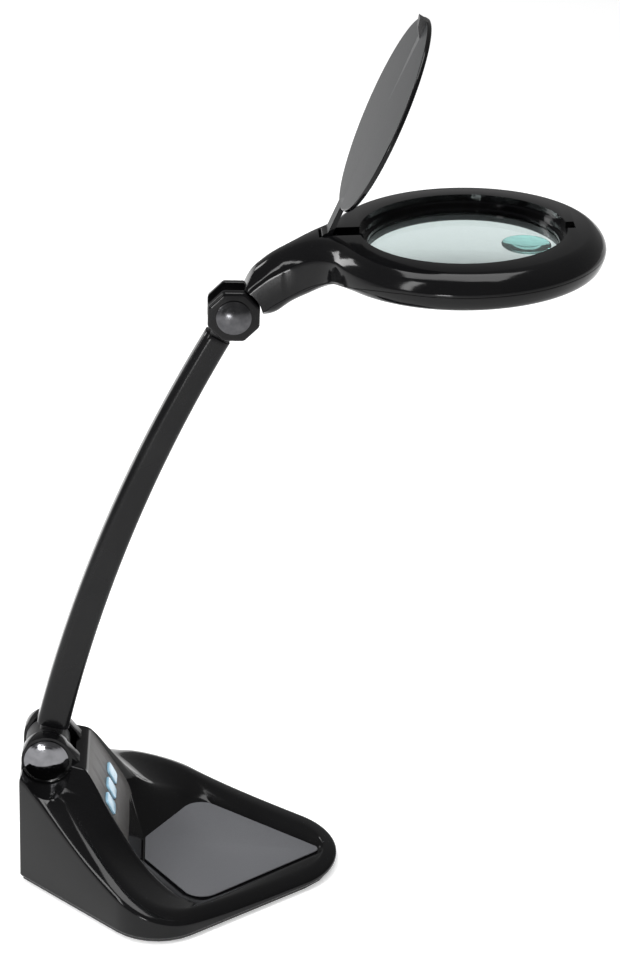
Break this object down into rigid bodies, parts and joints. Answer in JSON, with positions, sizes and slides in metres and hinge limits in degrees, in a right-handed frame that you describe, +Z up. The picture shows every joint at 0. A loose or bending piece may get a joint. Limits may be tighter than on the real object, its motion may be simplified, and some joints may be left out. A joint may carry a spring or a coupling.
{
  "type": "magnifying desk lamp",
  "caption": "Desk magnifying lamp: weighted diamond tray base with control keys, bowed tilting arm, round lens head with light ring and a hinged lens cover.",
  "frame": {"origin": "centre of the base underside, midway between the base's back face and its side corners' span, feet 1.2 mm below it", "axes": "+Z up, -Y the front towards which the head reaches, X across along every hinge axis"},
  "size_m": [0.181, 0.3094, 0.4978],
  "materials": {
    "black_gloss": "deep glossy black moulding",
    "black_matte": "plain black moulding",
    "black_plate": "black painted sheet steel",
    "grey_mat": "soft grey tray mat",
    "grey_cover": "satin grey lens cover with a black edge",
    "cast_iron": "raw cast ballast",
    "steel": "zinc plated steel",
    "dark_dome": "dark glossy dome",
    "gunmetal": "satin gunmetal dome",
    "rubber": "black rubber",
    "pearl": "pearl light blue keys",
    "board": "green circuit board",
    "led_white": "white board with light chips",
    "frosted": "frosted light ring",
    "clear": "clear optical lens"
  },
  "bodies": {
    "base": {"base_shell": "black_gloss", "base_plate": "black_plate", "ballast_block": "cast_iron", "tray_mat": "grey_mat", "control_board": "board", "dc_inlet": "black_matte", "base_hinge_bolt": "steel", "base_hinge_nut": "steel", "base_hinge_washer_right": "black_matte", "base_hinge_washer_left": "black_matte", "base_hinge_cap_right": "dark_dome", "base_hinge_cap_left": "dark_dome", "base_screw_1": "steel", "base_screw_2": "steel", "base_screw_3": "steel", "base_screw_4": "steel", "foot_back_left": "rubber", "foot_back_right": "rubber", "foot_left": "rubber", "foot_right": "rubber", "foot_front": "rubber"},
    "arm": {"arm_tube": "black_gloss", "arm_knuckle": "black_matte", "arm_eye": "black_matte"},
    "head": {"hub_bolt": "steel", "hub_nut": "steel", "hub_washer_right": "black_matte", "hub_washer_left": "black_matte", "hub_cap_right": "gunmetal", "hub_cap_left": "gunmetal", "hub_cheek_right": "black_gloss", "hub_cheek_left": "black_gloss", "head_upper_shell": "black_gloss", "head_lower_shell": "black_gloss", "lens": "clear", "insert_lens": "clear", "lens_frame": "black_matte", "diffuser": "frosted", "led_board": "led_white", "lid_pin": "steel", "head_screw_1": "steel", "head_screw_2": "steel", "head_screw_3": "steel", "head_screw_4": "steel"},
    "cover": {"lens_cover": "grey_cover"},
    "key_right": {"button_right": "pearl"},
    "key_middle": {"button_middle": "pearl"},
    "key_left": {"button_left": "pearl"}
  },
  "joints": [
    {"name": "arm_tilt", "type": "hinge", "parent": "base", "child": "arm", "pos_m": [0, 0.075, 0.074], "axis": [1, 0, 0], "range_deg": [-25, 25]},
    {"name": "head_tilt", "type": "hinge", "parent": "arm", "child": "head", "pos_m": [0, -0.0248, 0.337], "axis": [1, 0, 0], "range_deg": [-45, 45]},
    {"name": "cover_hinge", "type": "hinge", "parent": "head", "child": "cover", "pos_m": [0, -0.07277, 0.37964], "axis": [1, 0, 0], "range_deg": [-25, 64]},
    {"name": "key_right_press", "type": "slide", "parent": "base", "child": "key_right", "axis": [0, 0.8906, -0.4548], "range_m": [0, 0.0008], "stiffness_N_per_m": 300, "springref_m": -0.001},
    {"name": "key_middle_press", "type": "slide", "parent": "base", "child": "key_middle", "axis": [0, 0.8906, -0.4548], "range_m": [0, 0.0008], "stiffness_N_per_m": 300, "springref_m": -0.001},
    {"name": "key_left_press", "type": "slide", "parent": "base", "child": "key_left", "axis": [0, 0.8906, -0.4548], "range_m": [0, 0.0008], "stiffness_N_per_m": 300, "springref_m": -0.001}
  ]
}
